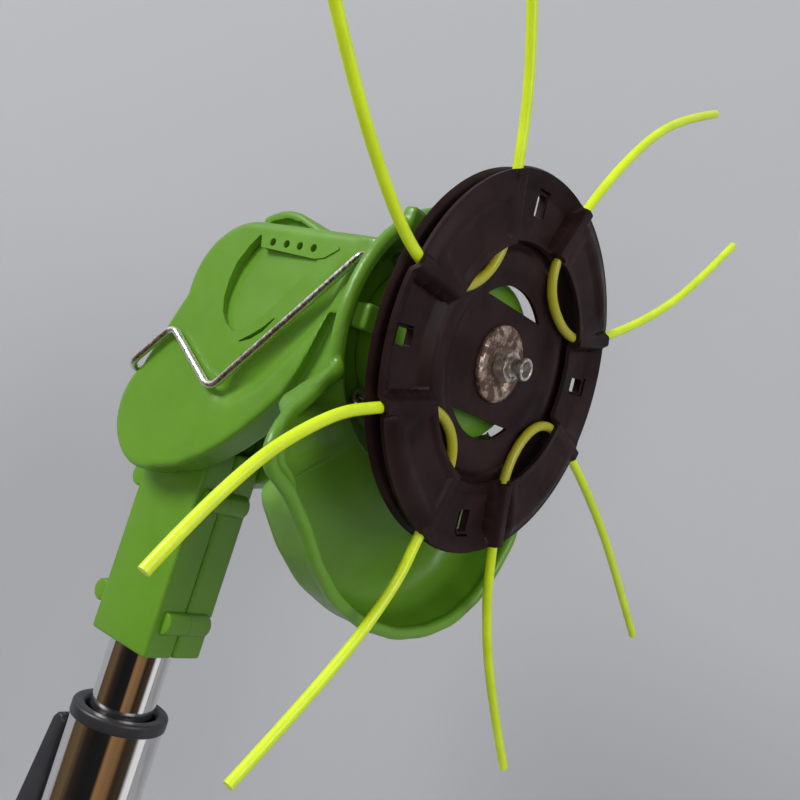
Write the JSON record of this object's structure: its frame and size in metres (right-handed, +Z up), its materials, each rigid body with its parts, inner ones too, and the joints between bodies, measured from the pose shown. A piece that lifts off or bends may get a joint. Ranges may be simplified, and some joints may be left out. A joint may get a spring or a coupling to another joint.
{
  "type": "string trimmer head",
  "caption": "Tilting electric string trimmer head with a pressed line disc, cut nylon lines, scoop guard and wire guard on the end of a telescopic pole.",
  "frame": {"origin": "centre of the cut lower end of the telescopic pole, where the rest of the pole plugs in", "axes": "+Z up the pole towards the head, +X along the spindle towards the line disc, Y across the head"},
  "size_m": [0.1506, 0.2689, 0.3553],
  "materials": {
    "green_plastic": "satin moulded",
    "chrome_tube": "polished",
    "chrome_wire": "polished",
    "black_plastic": "matt moulded",
    "brass": "plain",
    "steel": "zinc plated",
    "worn_steel": "rusty and pitted",
    "magnet": "sintered",
    "carbon": "sintered",
    "dark_sheet": "dark satin coat",
    "nylon_line": "translucent nylon"
  },
  "bodies": {
    "pole": {"outer_tube": "chrome_tube", "guide_sleeve": "black_plastic", "clamp_shoe": "brass", "pole_collar": "black_plastic", "lever_pin": "steel"},
    "lever": {"clamp_lever": "black_plastic"},
    "neck": {"inner_tube": "chrome_tube", "tube_pin": "steel", "pivot_sleeve": "brass", "neck_shell_near": "green_plastic", "neck_shell_far": "green_plastic", "neck_screws": "steel"},
    "head": {"housing_near": "green_plastic", "housing_far": "green_plastic", "housing_screws": "steel", "pivot_bolt": "steel", "pivot_nut": "steel", "motor_can": "steel", "motor_end_cap": "black_plastic", "rear_bearing": "steel", "front_bearing": "steel", "motor_magnets": "magnet", "brush_holder": "black_plastic", "motor_brushes": "carbon", "nose_cover": "green_plastic", "guard": "green_plastic", "guard_screws": "steel"},
    "spindle": {"motor_shaft": "steel", "drive_adapter": "worn_steel", "armature": "steel", "commutator": "brass", "rear_plate": "dark_sheet", "front_ring": "dark_sheet", "line_1": "nylon_line", "line_2": "nylon_line", "line_3": "nylon_line", "line_4": "nylon_line", "clamp_washer": "worn_steel", "clamp_nut": "worn_steel"},
    "wire": {"wire_guard": "chrome_wire"}
  },
  "joints": [
    {"name": "lever_flip", "type": "hinge", "parent": "pole", "child": "lever", "pos_m": [-0.0202, 0, 0.0745], "axis": [0, 1, 0], "range_deg": [0, 100]},
    {"name": "pole_slide", "type": "slide", "parent": "pole", "child": "neck", "axis": [0, 0, 1], "range_m": [-0.015, 0.02]},
    {"name": "head_tilt", "type": "hinge", "parent": "neck", "child": "head", "pos_m": [-0.0037, 0, 0.1906], "axis": [0, 1, 0], "range_deg": [-60, 0]},
    {"name": "spindle_spin", "type": "hinge", "parent": "head", "child": "spindle", "pos_m": [0.1076, 0, 0.235], "axis": [1, 0, 0], "continuous": true},
    {"name": "wire_swing", "type": "hinge", "parent": "head", "child": "wire", "pos_m": [0.0679, 0, 0.2539], "axis": [0, 1, 0], "range_deg": [0, 120]}
  ]
}
